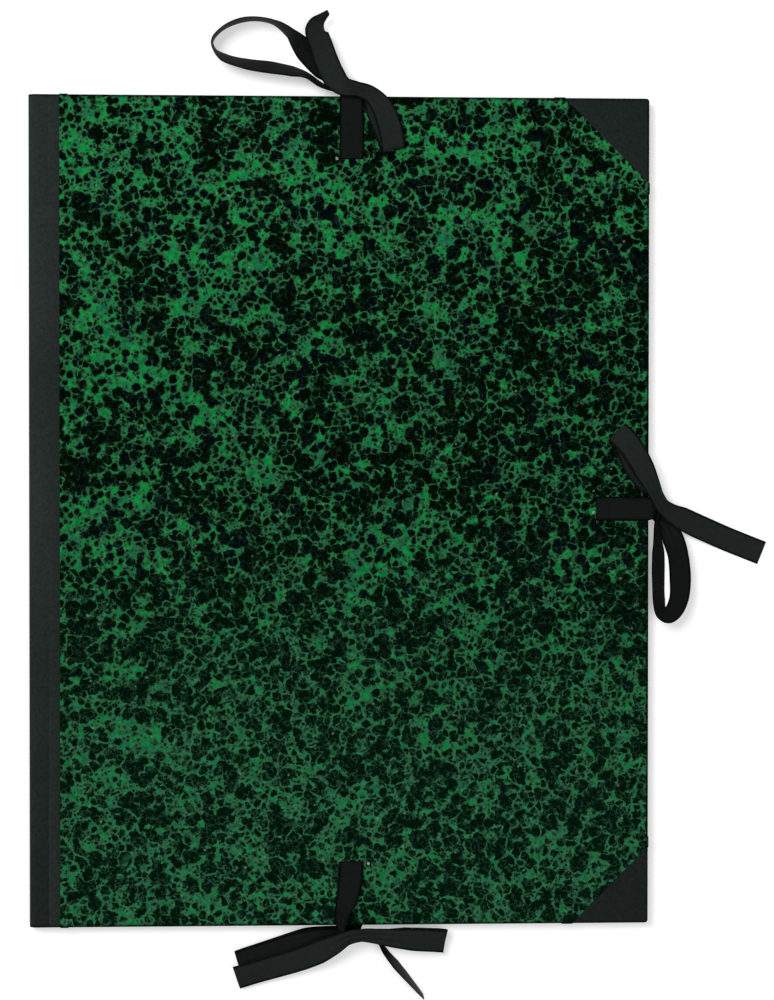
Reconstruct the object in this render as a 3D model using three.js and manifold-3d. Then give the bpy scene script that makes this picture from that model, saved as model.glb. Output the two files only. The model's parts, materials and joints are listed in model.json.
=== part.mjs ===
import * as THREE from "three";
import { mergeVertices } from "three/addons/utils/BufferGeometryUtils.js";
import Module from "manifold-3d";

// A portfolio folder for drawings: two greyboards covered in marbled paper, joined by a cloth
// spine, with cloth corners and three pairs of ribbons that are tied in bows.
// Millimetres. The folder lies closed on its back cover. +X runs to the fore edge, +Y to the
// head and +Z up. The origin is under the middle of the covers, on the surface they lie on.

const wasm = await Module();
wasm.setup();

// Driving sizes of the covers
const folderWidth = 255;
const folderHeight = 341;
const boardThickness = 2;
const sheetThickness = 0.25;
const coverGap = 0.5;
const cornerRadius = 1;
const turnInDepth = 15;
const liningMargin = 4;

// Driving sizes of the cloth
const spineReach = 8;
const spineClothShown = 12.75;
const paperLap = 3;
const headCornerShown = 34.5;
const tailCornerShown = 31;
const hingeClothOnBoard = 26;
const liningLapOnHinge = 6;

// Driving sizes of the ribbons and their slits
const ribbonWidth = 10;
const ribbonThickness = 0.3;
const ribbonPlay = 0.3;
const gluedLength = 20;
const slitWidth = 1;
const slitLength = 11.5;
const slitInsetHead = 25.5;
const slitInsetFore = 21.5;
const slitInsetTail = 26;
const slitX = 4.5;
const slitY = 1.25;
const pressedDepth = 0.125;
const gluedRecess = 0.375;

// How the ribbons and round edges are drawn
const stepsPerPoint = 2;
const arcSegments = 3;
const spineSegments = 12;

// Small clearances
const buttGap = 0.05;
const joinOverlap = 0.3;
const ribbonInset = 0.02;
const beyond = 2;

// Worked out from the driving sizes. A cover lies with its outer face down. The paper's lap over
// the cloth is its lowest level, then one level of paper and cloth, the board, and the turn-ins.
const halfWidth = folderWidth / 2;
const halfHeight = folderHeight / 2;
const foreX = halfWidth - 2 * sheetThickness;
const headY = halfHeight - 2 * sheetThickness;
const boardBottom = 2 * sheetThickness;
const boardTop = boardBottom + boardThickness;
const boardMiddle = (boardBottom + boardTop) / 2;
const turnInTop = boardTop + sheetThickness;
const lapWallTop = boardTop + sheetThickness / 2;
const liningTop = turnInTop + sheetThickness;
const closedThickness = 2 * liningTop + coverGap;
const middle = closedThickness / 2;
const outerFace = sheetThickness;
const spineEdgeX = -halfWidth + spineReach;
const spineRadius = middle - outerFace;
const spineCentreX = -halfWidth + spineRadius;
const paperEdgeX = -halfWidth + spineClothShown;
const clothEdgeX = paperEdgeX + paperLap;
const hingeEdgeX = spineEdgeX + hingeClothOnBoard;
const headCornerCloth = headCornerShown + paperLap * Math.SQRT2;
const tailCornerCloth = tailCornerShown + paperLap * Math.SQRT2;

const materials = {
  board: new THREE.MeshStandardMaterial({ color: 0x9b958a, roughness: 0.9, metalness: 0 }),
  marbled: new THREE.MeshStandardMaterial({ color: 0x174428, roughness: 0.55, metalness: 0 }),
  cloth: new THREE.MeshStandardMaterial({ color: 0x29302d, roughness: 0.85, metalness: 0 }),
  lining: new THREE.MeshStandardMaterial({ color: 0xc9c4b8, roughness: 0.9, metalness: 0 }),
  ribbon: new THREE.MeshStandardMaterial({ color: 0x1c211f, roughness: 0.7, metalness: 0 }),
};

// A closed geometry as a solid that can be joined and cut.
function solid(geometry) {
  geometry.deleteAttribute("normal");
  geometry.deleteAttribute("uv");
  const merged = mergeVertices(geometry, 1e-4);
  return new wasm.Manifold(
    new wasm.Mesh({
      numProp: 3,
      vertProperties: merged.getAttribute("position").array,
      triVerts: new Uint32Array(merged.index.array),
    }),
  );
}

// A solid as a geometry with flat faces.
function geometryOf(made) {
  const mesh = made.getMesh();
  const geometry = new THREE.BufferGeometry();
  geometry.setAttribute("position", new THREE.BufferAttribute(mesh.vertProperties, 3));
  geometry.setIndex(new THREE.BufferAttribute(mesh.triVerts, 1));
  const flat = geometry.toNonIndexed();
  flat.computeVertexNormals();
  return flat;
}

function polygon(corners) {
  return new THREE.Shape(corners.map(([x, y]) => new THREE.Vector2(x, y)));
}

// An upright prism over an outline in X and Y.
function prism(outline, bottom, top) {
  const settings = { depth: top - bottom, bevelEnabled: false, curveSegments: arcSegments };
  return solid(new THREE.ExtrudeGeometry(outline, settings).translate(0, 0, bottom));
}

function block(x0, x1, y0, y1, z0, z1) {
  return prism(polygon([[x0, y0], [x1, y0], [x1, y1], [x0, y1]]), z0, z1);
}

// A band along Y with its section drawn in X and Z.
function bandAlongY(section, from, to, segments = arcSegments) {
  const settings = { depth: to - from, bevelEnabled: false, curveSegments: segments };
  const made = new THREE.ExtrudeGeometry(section, settings);
  return made.rotateX(Math.PI / 2).translate(0, to, 0);
}

// The board grown by so much on every side but the spine side, with its fore corners rounded.
function grownBoard(grow) {
  const x = foreX + grow;
  const y = headY + grow;
  const radius = cornerRadius + grow;
  const outline = new THREE.Shape();
  outline.moveTo(spineEdgeX, -y);
  outline.lineTo(x - radius, -y);
  outline.absarc(x - radius, -y + radius, radius, -Math.PI / 2, 0, false);
  outline.lineTo(x, y - radius);
  outline.absarc(x - radius, y - radius, radius, 0, Math.PI / 2, false);
  outline.lineTo(spineEdgeX, y);
  return prism(outline, boardBottom - grow, boardTop + grow);
}

// A sheet wrapped round the board at one level: 0 lies on the board, 1 on a sheet of level 0.
function wrappedSheet(level) {
  const inner = grownBoard(level * sheetThickness);
  return grownBoard((level + 1) * sheetThickness).subtract(inner);
}

// The outer half of a wrapped sheet under an outline, and the half turned in over the board.
function outside(sheet, outline) {
  return sheet.intersect(prism(outline, -beyond, boardMiddle));
}

function turnedIn(sheet, outline) {
  return sheet.intersect(prism(outline, boardMiddle, closedThickness));
}

// The strip between two lines across a corner. A line's leg is its distance from the corner
// along either edge. The side is 1 at the head and -1 at the tail.
function cornerBand(side, nearLeg, farLeg) {
  return polygon([
    [foreX - farLeg, side * (headY + beyond)],
    [foreX - nearLeg, side * (headY + beyond)],
    [foreX - nearLeg, side * headY],
    [foreX, side * (headY - nearLeg)],
    [foreX + beyond, side * (headY - nearLeg)],
    [foreX + beyond, side * (headY - farLeg)],
    [foreX, side * (headY - farLeg)],
    [foreX - farLeg, side * headY],
  ]);
}

function cornerTriangle(side, leg) {
  return polygon([
    [foreX - leg, side * (headY + beyond)],
    [foreX - leg, side * headY],
    [foreX, side * (headY - leg)],
    [foreX + beyond, side * (headY - leg)],
    [foreX + beyond, side * (headY + beyond)],
  ]);
}

// Inside the cover the same cut runs the other way, as the cloth is folded over both edges.
function cornerTurnIn(side, leg) {
  return polygon([
    [foreX - leg, side * (headY + beyond)],
    [foreX - leg, side * headY],
    [foreX - leg - turnInDepth, side * (headY - turnInDepth)],
    [foreX - turnInDepth, side * (headY - turnInDepth)],
    [foreX - turnInDepth, side * (headY - leg - turnInDepth)],
    [foreX, side * (headY - leg)],
    [foreX + beyond, side * (headY - leg)],
    [foreX + beyond, side * (headY + beyond)],
  ]);
}

// The three edges that carry a slit. Points are given along the edge and out from it.
const edges = {
  head: {
    origin: new THREE.Vector3(slitX, halfHeight, 0),
    along: new THREE.Vector3(1, 0, 0),
    out: new THREE.Vector3(0, 1, 0),
    inset: slitInsetHead,
  },
  fore: {
    origin: new THREE.Vector3(halfWidth, slitY, 0),
    along: new THREE.Vector3(0, 1, 0),
    out: new THREE.Vector3(1, 0, 0),
    inset: slitInsetFore,
  },
  tail: {
    origin: new THREE.Vector3(slitX, -halfHeight, 0),
    along: new THREE.Vector3(1, 0, 0),
    out: new THREE.Vector3(0, -1, 0),
    inset: slitInsetTail,
  },
};

function placeOn(edge, along, out, height) {
  const place = edge.origin.clone();
  place.addScaledVector(edge.along, along);
  place.addScaledVector(edge.out, out);
  place.z += height;
  return place;
}

// A rectangle beside an edge, as a block: its half length along the edge, and how far out from
// the edge it starts and ends.
function edgeBlock(edge, halfLength, outFrom, outTo, bottom, top) {
  const a = placeOn(edge, -halfLength, outFrom, 0);
  const b = placeOn(edge, halfLength, outTo, 0);
  const [x0, x1] = [Math.min(a.x, b.x), Math.max(a.x, b.x)];
  const [y0, y1] = [Math.min(a.y, b.y), Math.max(a.y, b.y)];
  return block(x0, x1, y0, y1, bottom, top);
}

// Half the width of the shallow bed that a ribbon has pressed into the cover.
const bedHalf = ribbonWidth / 2 + ribbonPlay;

function slitThrough(edge) {
  const half = slitWidth / 2;
  return edgeBlock(edge, slitLength / 2, -edge.inset - half, -edge.inset + half, -beyond, boardTop);
}

function bedUnder(edge, halfLength, bottom, top) {
  return edgeBlock(edge, halfLength, -edge.inset, beyond, bottom, top);
}

// The greyboard, with its slits, the beds of the ribbons and the recesses of their glued ends.
function boardSolid() {
  let board = grownBoard(0);
  for (const edge of Object.values(edges)) {
    const pressedTop = boardBottom + pressedDepth;
    const glueStart = -edge.inset - gluedLength - ribbonPlay;
    board = board
      .subtract(bedUnder(edge, bedHalf + sheetThickness, 0, pressedTop))
      .subtract(edgeBlock(edge, bedHalf, glueStart, -edge.inset, boardTop - gluedRecess, liningTop))
      .subtract(slitThrough(edge));
  }
  return board;
}

// The paper's lap over the spine cloth, between two heights on the cover.
function lapStrip(from, to) {
  const x0 = paperEdgeX;
  const x1 = clothEdgeX + joinOverlap;
  return polygon([[x0, from], [x1, from], [x1, to], [x0, to]]);
}

// The marbled paper: it runs over three edges and laps over the cloth of the spine and corners.
// The corner laps end on the cover's edge, under the level of what is turned in.
function paperSolid() {
  const level0 = wrappedSheet(0);
  const level1 = wrappedSheet(1);
  const startX = clothEdgeX + buttGap;
  const headLeg = headCornerCloth + buttGap;
  const tailLeg = tailCornerCloth + buttGap;
  const face = polygon([
    [startX, -headY - beyond],
    [foreX - tailLeg, -headY - beyond],
    [foreX - tailLeg, -headY],
    [foreX, -headY + tailLeg],
    [foreX + beyond, -headY + tailLeg],
    [foreX + beyond, headY - headLeg],
    [foreX, headY - headLeg],
    [foreX - headLeg, headY],
    [foreX - headLeg, headY + beyond],
    [startX, headY + beyond],
  ]);
  const headTurnIn = polygon([
    [startX, headY + beyond],
    [startX, headY - turnInDepth],
    [foreX - headLeg - turnInDepth, headY - turnInDepth],
    [foreX - headLeg, headY],
    [foreX - headLeg, headY + beyond],
  ]);
  const tailTurnIn = polygon([
    [startX, -headY - beyond],
    [foreX - tailLeg, -headY - beyond],
    [foreX - tailLeg, -headY],
    [foreX - tailLeg - turnInDepth, -headY + turnInDepth],
    [startX, -headY + turnInDepth],
  ]);
  const foreTurnIn = polygon([
    [foreX + beyond, headY - headLeg],
    [foreX, headY - headLeg],
    [foreX - turnInDepth, headY - headLeg - turnInDepth],
    [foreX - turnInDepth, -headY + tailLeg + turnInDepth],
    [foreX, -headY + tailLeg],
    [foreX + beyond, -headY + tailLeg],
  ]);
  let paper = outside(level0, face)
    .add(turnedIn(level0, headTurnIn))
    .add(turnedIn(level0, foreTurnIn))
    .add(turnedIn(level0, tailTurnIn));
  const cornerLaps = [
    cornerBand(1, headCornerShown, headCornerCloth + joinOverlap),
    cornerBand(-1, tailCornerShown, tailCornerCloth + joinOverlap),
  ];
  for (const lap of cornerLaps) {
    paper = paper.add(level1.intersect(prism(lap, -beyond, lapWallTop)));
  }
  paper = paper.add(outside(level1, lapStrip(-halfHeight - beyond, halfHeight + beyond)));
  for (const side of [-1, 1]) {
    const strip = lapStrip(side * (headY - turnInDepth), side * (halfHeight + beyond));
    paper = paper.add(turnedIn(level1, strip));
  }
  for (const edge of Object.values(edges)) {
    const bedBottom = outerFace + pressedDepth;
    const bedTop = boardBottom + pressedDepth;
    const edgeOfSheet = -sheetThickness;
    const bed = edgeBlock(
      edge, bedHalf + sheetThickness, -edge.inset, edgeOfSheet, outerFace, bedTop,
    );
    paper = paper
      .add(bed)
      .subtract(bedUnder(edge, bedHalf, -beyond, bedBottom))
      .subtract(slitThrough(edge));
  }
  return paper;
}

function cornerSolid(side, leg) {
  const sheet = wrappedSheet(0);
  return outside(sheet, cornerTriangle(side, leg)).add(turnedIn(sheet, cornerTurnIn(side, leg)));
}

// The lining fills the space between the turn-ins and laps over them and over the hinge cloth.
function liningSolid() {
  const inset = turnInDepth + buttGap;
  const fill = block(
    hingeEdgeX + buttGap, foreX - inset, -headY + inset, headY - inset, boardTop, liningTop,
  );
  const x0 = hingeEdgeX - liningLapOnHinge;
  const x1 = foreX - liningMargin;
  const y = headY - liningMargin;
  return fill.add(block(x0, x1, -y, y, turnInTop, liningTop));
}

// The section of a band that runs round the spine from one cover to the other.
function spineSection(outerRadius, innerRadius, endX) {
  const section = new THREE.Shape();
  section.moveTo(endX, middle - outerRadius);
  section.lineTo(spineCentreX, middle - outerRadius);
  section.absarc(spineCentreX, middle, outerRadius, -Math.PI / 2, Math.PI / 2, true);
  section.lineTo(endX, middle + outerRadius);
  section.lineTo(endX, middle + innerRadius);
  section.lineTo(spineCentreX, middle + innerRadius);
  section.absarc(spineCentreX, middle, innerRadius, Math.PI / 2, -Math.PI / 2, false);
  section.lineTo(endX, middle - innerRadius);
  return section;
}

// The spine cloth: round the spine, onto both boards, and turned in at the head and the tail.
function spineClothSolid() {
  const end = headY + sheetThickness;
  const inner = spineRadius - sheetThickness;
  const body = spineSection(spineRadius, inner, clothEdgeX);
  let cloth = solid(bandAlongY(body, -end, end, spineSegments));
  const doubled = spineSection(spineRadius, inner - sheetThickness, spineEdgeX);
  for (const side of [-1, 1]) {
    const [y0, y1] = [side * (headY - turnInDepth), side * end].sort((a, b) => a - b);
    const [w0, w1] = [side * headY, side * end].sort((a, b) => a - b);
    cloth = cloth.add(solid(bandAlongY(doubled, y0, y1, spineSegments)));
    for (const mirrored of [false, true]) {
      const over = block(spineEdgeX, clothEdgeX, w0, w1, outerFace, turnInTop);
      const flap = block(spineEdgeX, clothEdgeX, y0, y1, boardTop, turnInTop);
      cloth = cloth.add(flipped(over.add(flap), mirrored));
    }
  }
  return cloth;
}

// The same solid on the front cover, where the outer face is up.
function flipped(made, mirrored) {
  return mirrored ? made.mirror([0, 0, 1]).translate([0, 0, closedThickness]) : made;
}

// The cloth strip inside the spine, from one board's inner face round to the other's.
function hingeClothSolid() {
  const outer = spineRadius - sheetThickness;
  const inner = outer - sheetThickness;
  const boardFace = middle - boardTop;
  const clothFace = middle - turnInTop;
  const wallX = spineEdgeX - sheetThickness;
  const section = new THREE.Shape();
  section.moveTo(hingeEdgeX, middle - boardFace);
  section.lineTo(spineEdgeX, middle - boardFace);
  section.lineTo(spineEdgeX, middle - outer);
  section.lineTo(spineCentreX, middle - outer);
  section.absarc(spineCentreX, middle, outer, -Math.PI / 2, Math.PI / 2, true);
  section.lineTo(spineEdgeX, middle + outer);
  section.lineTo(spineEdgeX, middle + boardFace);
  section.lineTo(hingeEdgeX, middle + boardFace);
  section.lineTo(hingeEdgeX, middle + clothFace);
  section.lineTo(wallX, middle + clothFace);
  section.lineTo(wallX, middle + inner);
  section.lineTo(spineCentreX, middle + inner);
  section.absarc(spineCentreX, middle, inner, Math.PI / 2, -Math.PI / 2, false);
  section.lineTo(wallX, middle - inner);
  section.lineTo(wallX, middle - clothFace);
  section.lineTo(hingeEdgeX, middle - clothFace);
  const end = headY - turnInDepth - buttGap;
  return solid(bandAlongY(section, -end, end, spineSegments));
}

// The ribbons. Each one is glued inside its cover, comes out through the slit, runs to the
// cover's edge, and makes one loop and one end of the bow. A point is: along the edge, out from
// the edge, height, compass turn and tilt of the direction in which the ribbon's width lies, and
// the width, which is less where the ribbon is drawn together in the knot. Heights are from the
// closed folder's top for a front ribbon and from the table for a back ribbon.
const frontBows = {
  head: [
    [0, -13, -0.17, 0, 0, 10],
    [0, -1, -0.17, 0, 0, 10],
    [0, 0.9, -0.12, 0, 2, 9.2],
    [-0.2, 2.1, -0.4, -10, 30, 6.2],
    [0.2, 3.2, -0.65, -40, 70, 3.6],
    [1.9, 4.2, -0.65, -70, 85, 3.2],
    [4.2, 3.8, -0.5, -95, 70, 3.6],
    [6.6, 2.2, 0.1, -115, 35, 5.5],
    [8.6, -0.8, 0.5, -132, 8, 8],
    [10.4, -5.4, 0.5, -148, 0, 9.6],
    [12.8, -11, 0.45, -155, 0, 10],
    [15, -16.5, 0.45, -161, 0, 10],
    [16.4, -20.6, 0.6, -166, 0, 10],
    [16.95, -21.9, 1.2, -170, 0, 10],
    [16.85, -21, 2, -170, 0, 10],
    [16.4, -17, 2.7, -166, 3, 10],
    [14.9, -11, 3.1, -156, 6, 10],
    [12, -4.6, 3.2, -145, 8, 9],
    [7.6, 0.2, 2.7, -130, 8, 7],
    [2.2, 2.4, 2, -110, 4, 6],
    [-3.6, 3.6, 1.7, -115, 0, 8],
    [-7.2, 7.4, 1.2, -138, -3, 9.8],
    [-10.2, 13.5, 0.6, -154, 0, 10],
    [-12.7, 20.5, 0.9, -159, 12, 10],
    [-14.4, 26.5, 0.5, -166, 18, 10],
    [-12.8, 30.8, -0.6, -200, 60, 8],
    [-9.6, 34.2, -0.8, -216, 80, 4],
  ],
  fore: [
    [0, -11, -0.17, 0, 0, 10],
    [0, -1, -0.17, 0, 0, 10],
    [0.3, 0.9, -0.12, 0, 2, 9.2],
    [0.6, 2.1, -0.4, -10, 30, 6.2],
    [1.4, 3.3, -0.65, -35, 70, 3.6],
    [3.2, 4, -0.65, -85, 82, 3.2],
    [5.6, 3.2, -0.4, -110, 60, 4],
    [8, 1, 0.4, -124, 22, 6.5],
    [11.2, -1.8, 0.6, -126, 5, 8.8],
    [16.8, -5.4, 0.5, -119, 0, 10],
    [23.2, -8.4, 0.4, -117, 0, 10],
    [28.4, -11, 0.4, -124, 0, 10],
    [30.8, -12.9, 0.6, -132, 0, 10],
    [31.6, -13.7, 1.5, -133, 0, 10],
    [30.9, -12.9, 2.5, -133, 0, 10],
    [27.5, -9.6, 3.4, -128, 4, 10],
    [22, -5.9, 3.9, -121, 8, 10],
    [16, -2.6, 3.8, -117, 10, 9.4],
    [10.4, 0.4, 3.1, -116, 10, 7.6],
    [5.2, 3, 2.1, -118, 5, 6],
    [1.2, 5.4, 1.5, -125, 0, 6.2],
    [-1.6, 9, 0.5, -146, 0, 7.5],
    [-4, 13.6, -0.8, -152, 0, 9.6],
    [-6.8, 19.5, -2.8, -155, 0, 10],
    [-9.6, 26, -4.6, -156, 0, 10],
    [-12.6, 33, -5.6, -157, 0, 10],
    [-15.6, 40.5, -6, -158, 0, 10],
    [-18.6, 48.1, -6.15, -158, 0, 10],
  ],
  tail: [
    [0, -24.5, -0.1, 0, 0, 10],
    [-0.6, -18, 0.3, 0, 2, 10],
    [-2, -11, 0.8, 2, 8, 8.8],
    [-3.6, -5.5, 1.3, 8, 18, 6.6],
    [-4.3, -0.8, 1.7, 8, 30, 4.8],
    [-3.4, 2.3, 0.1, -10, 55, 3.6],
    [-0.8, 3.4, -0.5, -60, 75, 3.2],
    [3.4, 3.6, -0.6, -88, 75, 3.2],
    [8, 3.8, -0.5, -86, 45, 4.6],
    [13.5, 4.6, -1.1, -82, 30, 7.6],
    [21, 5.6, -2.3, -82, 18, 9.6],
    [29, 6.2, -2.9, -82, 14, 10],
    [35.5, 6.6, -3.1, -80, 12, 10],
    [38.2, 6.9, -2.6, -80, 12, 10],
    [38.7, 7, -1.6, -80, 12, 10],
    [37.6, 6.9, -0.6, -80, 12, 10],
    [33, 6.4, 0.3, -80, 12, 10],
    [25.5, 5.8, 1.2, -80, 12, 9.8],
    [17.5, 5, 2.1, -82, 12, 8.4],
    [10.5, 4, 2.7, -86, 8, 6.6],
    [4, 3.4, 2.9, -90, 4, 5.4],
    [-2, 4.6, 2.7, -105, 0, 6],
    [-7.4, 7.6, 1.7, -118, 0, 8.2],
    [-13.5, 10.8, 0.1, -117, 0, 9.8],
    [-20.5, 13.7, -1.1, -112, 5, 10],
    [-29, 16.3, -1.9, -108, 10, 10],
    [-38.5, 19.1, -2.6, -107, 12, 10],
    [-47.4, 21.8, -3.2, -107, 12, 10],
  ],
};

const backBows = {
  head: [
    [0, -13, 0.17, 0, 0, 10],
    [0, -2.5, 0.17, 0, 0, 10],
    [0, -1, 0.17, 0, 0, 10],
    [0, 0.8, 0.32, 0, 0, 9],
    [-0.4, 2.4, 0.9, 10, 5, 6],
    [-1.8, 4.6, 1.4, 35, 15, 5.2],
    [-5.6, 7.6, 1.8, 45, 16, 7],
    [-11.8, 12.2, 2.4, 50, 20, 10],
    [-18.4, 18.4, 3.2, 48, 30, 10],
    [-25, 25.4, 5, 52, 74, 10],
    [-32, 29.9, 5.2, 70, 88, 10],
    [-41, 31.2, 5.2, 92, 90, 10],
    [-48.8, 29.4, 5.2, 112, 90, 10],
    [-54.2, 26, 5.2, 140, 89, 10],
    [-56.9, 22.2, 5.2, 175, 88, 10],
    [-55.9, 18.6, 5.1, 225, 80, 10],
    [-52.3, 15.6, 4.7, 247, 64, 10],
    [-43, 13, 4.4, 258, 55, 10],
    [-32.6, 11.6, 4.3, 261, 53, 10],
    [-24.4, 10.2, 4.3, 258, 55, 9.8],
    [-18.2, 8.6, 4.3, 240, 66, 8.6],
    [-12.6, 5, 3.4, 232, 70, 6.4],
    [-7, 2.9, 2.4, 250, 78, 3.6],
    [-1.5, 2.2, 2.75, 268, 80, 2.4],
    [2.8, 2.8, 2.75, 300, 80, 2.4],
    [4.4, 5, 2.75, 360, 80, 2.4],
  ],
  fore: [
    [0, -11, 0.17, 0, 0, 10],
    [0, -1, 0.17, 0, 0, 10],
    [0, -0.3, 0.17, 0, 0, 10],
    [0, 0.5, 0.21, 4, 0, 9.8],
    [-0.2, 1.5, 0.62, 12, 0, 8.4],
    [-1.2, 3.1, 1.3, 38, 3, 6.5],
    [-3.6, 5.4, 1.7, 50, 14, 6],
    [-7.6, 8.2, 2.2, 50, 20, 7.6],
    [-12.6, 10.6, 2.7, 62, 26, 9.4],
    [-19.5, 12.6, 3.6, 75, 40, 10],
    [-29.8, 13.5, 3.7, 88, 40, 10],
    [-37.5, 12.9, 4, 98, 47, 10],
    [-42.6, 10.6, 4.4, 125, 54, 10],
    [-44.6, 7.6, 4.6, 175, 58, 10],
    [-42.8, 5.2, 4.5, 230, 55, 10],
    [-38, 4.4, 4.3, 262, 51, 10],
    [-28, 4.1, 4.3, 270, 51, 10],
    [-18, 4.1, 4.3, 270, 51, 10],
    [-10.5, 3.8, 3.9, 270, 60, 8],
    [-5.6, 3.9, 2.9, 270, 66, 4.6],
    [-1.8, 3.8, 2.7, 270, 80, 2.4],
    [2.5, 3.8, 2.7, 270, 80, 2.4],
  ],
  tail: [
    [0, -13, 0.17, 0, 0, 10],
    [0, -1, 0.17, 0, 0, 10],
    [0, -0.3, 0.17, 0, 0, 10],
    [0, 0.5, 0.21, 5, 0, 9.8],
    [-0.2, 1.5, 0.62, 22, 0, 8.4],
    [-1.6, 2.9, 1.1, 50, 3, 6.4],
    [-5, 4, 1.3, 72, 8, 6.4],
    [-10.5, 5.2, 1.2, 75, 8, 8.4],
    [-18, 6.6, 1.2, 72, 5, 10],
    [-27, 9.4, 1, 70, 3, 10],
    [-36, 12.4, 0.9, 71, 2, 10],
    [-43.5, 14.8, 0.9, 72, 2, 10],
    [-46.2, 15.7, 1.3, 72, 2, 10],
    [-46.7, 15.8, 2.1, 72, 2, 10],
    [-45.6, 15.4, 2.9, 72, 2, 10],
    [-40, 13.6, 3.4, 71, 2, 10],
    [-31, 10.8, 3.8, 70, 2, 10],
    [-22, 7.9, 4, 71, 0, 10],
    [-13.5, 5.8, 3.7, 76, 0, 8.6],
    [-7, 4.3, 3, 84, 20, 5],
    [-1, 3.6, 2.8, 90, 60, 2.6],
    [4.5, 3.6, 2.6, 100, 75, 2.4],
    [8.6, 5, 2.2, 118, 80, 2.6],
    [12, 8.4, 2.2, 138, 84, 3.6],
    [15.2, 12.4, 4.2, 141, 78, 8],
    [18.6, 16.6, 5.15, 141, 76, 10],
    [22.2, 20.8, 5.2, 141, 78, 10],
    [26, 25.3, 5.2, 140, 84, 10],
    [29.8, 29.8, 5.15, 140, 90, 10],
  ],
};

// The glued end and the way through the slit, from a height inside the cover to one outside it.
function throughSlit(inset, inner, outer) {
  const turn = slitWidth / 2;
  const rise = Math.sign(outer - inner);
  const straight = 1.5 * turn;
  const points = [
    [-inset - gluedLength, inner],
    [-inset - gluedLength / 2, inner],
    [-inset - turn - straight, inner],
  ];
  for (const angle of [0, Math.PI / 4, Math.PI / 2]) {
    points.push([-inset - turn * (1 - Math.sin(angle)), inner + rise * turn * (1 - Math.cos(angle))]);
  }
  for (const angle of [0, Math.PI / 4, Math.PI / 2]) {
    points.push([-inset + turn * (1 - Math.cos(angle)), outer - rise * turn * (1 - Math.sin(angle))]);
  }
  points.push([-inset + turn + straight, outer]);
  return points.map(([out, height]) => [0, out, height, 0, 0, ribbonWidth]);
}

// A flat strip along a smooth line, with its width turned and narrowed from point to point.
function ribbonGeometry(edge, points) {
  const line = new THREE.CatmullRomCurve3(
    points.map(([along, out, height]) => placeOn(edge, along, out, height)),
    false,
    "centripetal",
  );
  const attitudes = points.map((point) => new THREE.Vector3(point[3], point[4], point[5]));
  const last = points.length - 1;
  const steps = last * stepsPerPoint;
  const corners = [];
  for (let step = 0; step <= steps; step++) {
    const whole = Math.min(Math.floor(step / stepsPerPoint), last - 1);
    const attitude = new THREE.Vector3();
    attitude.lerpVectors(attitudes[whole], attitudes[whole + 1], step / stepsPerPoint - whole);
    const turn = THREE.MathUtils.degToRad(attitude.x);
    const tilt = THREE.MathUtils.degToRad(attitude.y);
    const tangent = line.getTangent(step / steps);
    const side = new THREE.Vector3(0, 0, Math.sin(tilt));
    side.addScaledVector(edge.along, Math.cos(turn) * Math.cos(tilt));
    side.addScaledVector(edge.out, Math.sin(turn) * Math.cos(tilt));
    side.addScaledVector(tangent, -side.dot(tangent)).setLength(attitude.z / 2);
    const up = new THREE.Vector3().crossVectors(tangent, side).setLength(ribbonThickness / 2);
    const centre = line.getPoint(step / steps);
    for (const [s, u] of [[1, 1], [-1, 1], [-1, -1], [1, -1]]) {
      corners.push(centre.clone().addScaledVector(side, s).addScaledVector(up, u));
    }
  }
  const faces = [];
  for (let step = 0; step < steps; step++) {
    for (let k = 0; k < 4; k++) {
      const a = 4 * step + k;
      const b = 4 * step + ((k + 1) % 4);
      faces.push(a, b, b + 4, a, b + 4, a + 4);
    }
  }
  const end = 4 * steps;
  faces.push(0, 2, 1, 0, 3, 2, end, end + 1, end + 2, end, end + 2, end + 3);
  const geometry = new THREE.BufferGeometry().setFromPoints(corners);
  geometry.setIndex(faces);
  geometry.computeVertexNormals();
  return geometry;
}

const folder = new THREE.Group();

function addPiece(name, geometry, material, mirrored = false) {
  const mesh = new THREE.Mesh(geometry, material);
  mesh.name = name;
  if (mirrored) {
    mesh.scale.z = -1;
    mesh.position.z = closedThickness;
  }
  folder.add(mesh);
}

// Both covers are alike. The front cover is the back cover turned over, and nothing is handed.
const board = geometryOf(boardSolid());
const paper = geometryOf(paperSolid());
const headCorner = geometryOf(cornerSolid(1, headCornerCloth));
const tailCorner = geometryOf(cornerSolid(-1, tailCornerCloth));
const lining = geometryOf(liningSolid());
for (const [cover, mirrored] of [["back", false], ["front", true]]) {
  addPiece(`${cover}_board`, board, materials.board, mirrored);
  addPiece(`${cover}_cover_paper`, paper, materials.marbled, mirrored);
  addPiece(`${cover}_head_corner`, headCorner, materials.cloth, mirrored);
  addPiece(`${cover}_tail_corner`, tailCorner, materials.cloth, mirrored);
  addPiece(`${cover}_lining`, lining, materials.lining, mirrored);
}

addPiece("spine_cloth", geometryOf(spineClothSolid()), materials.cloth);
addPiece("inner_hinge_cloth", geometryOf(hingeClothSolid()), materials.cloth);

const gluedInner = boardTop - gluedRecess / 2;
const ribbonOutside = ribbonThickness / 2 + ribbonInset;
for (const [name, edge] of Object.entries(edges)) {
  const fromTop = frontBows[name].map(([along, out, height, ...rest]) => [
    along, out, closedThickness + height, ...rest,
  ]);
  const front = throughSlit(
    edge.inset, closedThickness - gluedInner, closedThickness - ribbonOutside,
  );
  const back = throughSlit(edge.inset, gluedInner, ribbonOutside);
  addPiece(`front_${name}_ribbon`, ribbonGeometry(edge, [...front, ...fromTop]), materials.ribbon);
  addPiece(`back_${name}_ribbon`, ribbonGeometry(edge, [...back, ...backBows[name]]), materials.ribbon);
}

export default folder;
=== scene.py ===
import json
import math
from collections import namedtuple

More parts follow.
